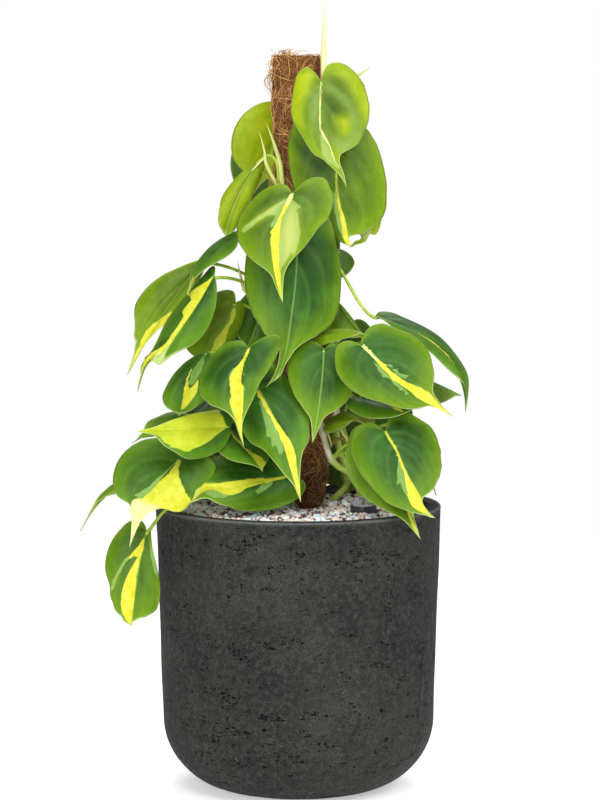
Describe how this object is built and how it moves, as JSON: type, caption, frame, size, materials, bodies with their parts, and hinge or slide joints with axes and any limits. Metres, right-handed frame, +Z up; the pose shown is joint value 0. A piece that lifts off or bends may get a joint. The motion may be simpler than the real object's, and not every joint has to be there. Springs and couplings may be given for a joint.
{
  "type": "potted brasil philodendron",
  "caption": "Variegated heart-leaf philodendron climbing a coir pole in a round dark concrete pot topped with gravel, with a water gauge.",
  "frame": {"origin": "centre of the pot's flat underside, on the surface it stands on", "axes": "+Z up along the pot's axis, -Y towards the front that the picture shows, +X to its right"},
  "size_m": [0.3078, 0.2354, 0.634],
  "materials": {
    "concrete": "rough cast anthracite fibre concrete with pinholes",
    "growing_mix": "loose moist potting mix",
    "gravel": "loose mixed cream, grey and dark red gravel",
    "stake": "plain round stake",
    "coir": "matted brown coconut fibre",
    "foliage": "satin living leaves with lime and yellow variegation",
    "gauge_plastic": "moulded, dark violet",
    "dial_plastic": "pale lavender",
    "clear_plastic": "clear polished",
    "stopper_plastic": "moulded, dark grey"
  },
  "bodies": {
    "root": {"pot": "concrete", "growing_mix": "growing_mix", "gravel_layer": "gravel", "pole_stake": "stake", "coir_pole": "coir", "vine_crown": "foliage", "vine_left": "foliage", "vine_middle": "foliage", "vine_front": "foliage", "vine_right": "foliage", "vine_trailing": "foliage", "vine_back": "foliage", "gauge_housing": "gauge_plastic", "gauge_dial": "dial_plastic", "gauge_window": "clear_plastic", "watering_stopper": "stopper_plastic"}
  },
  "joints": []
}
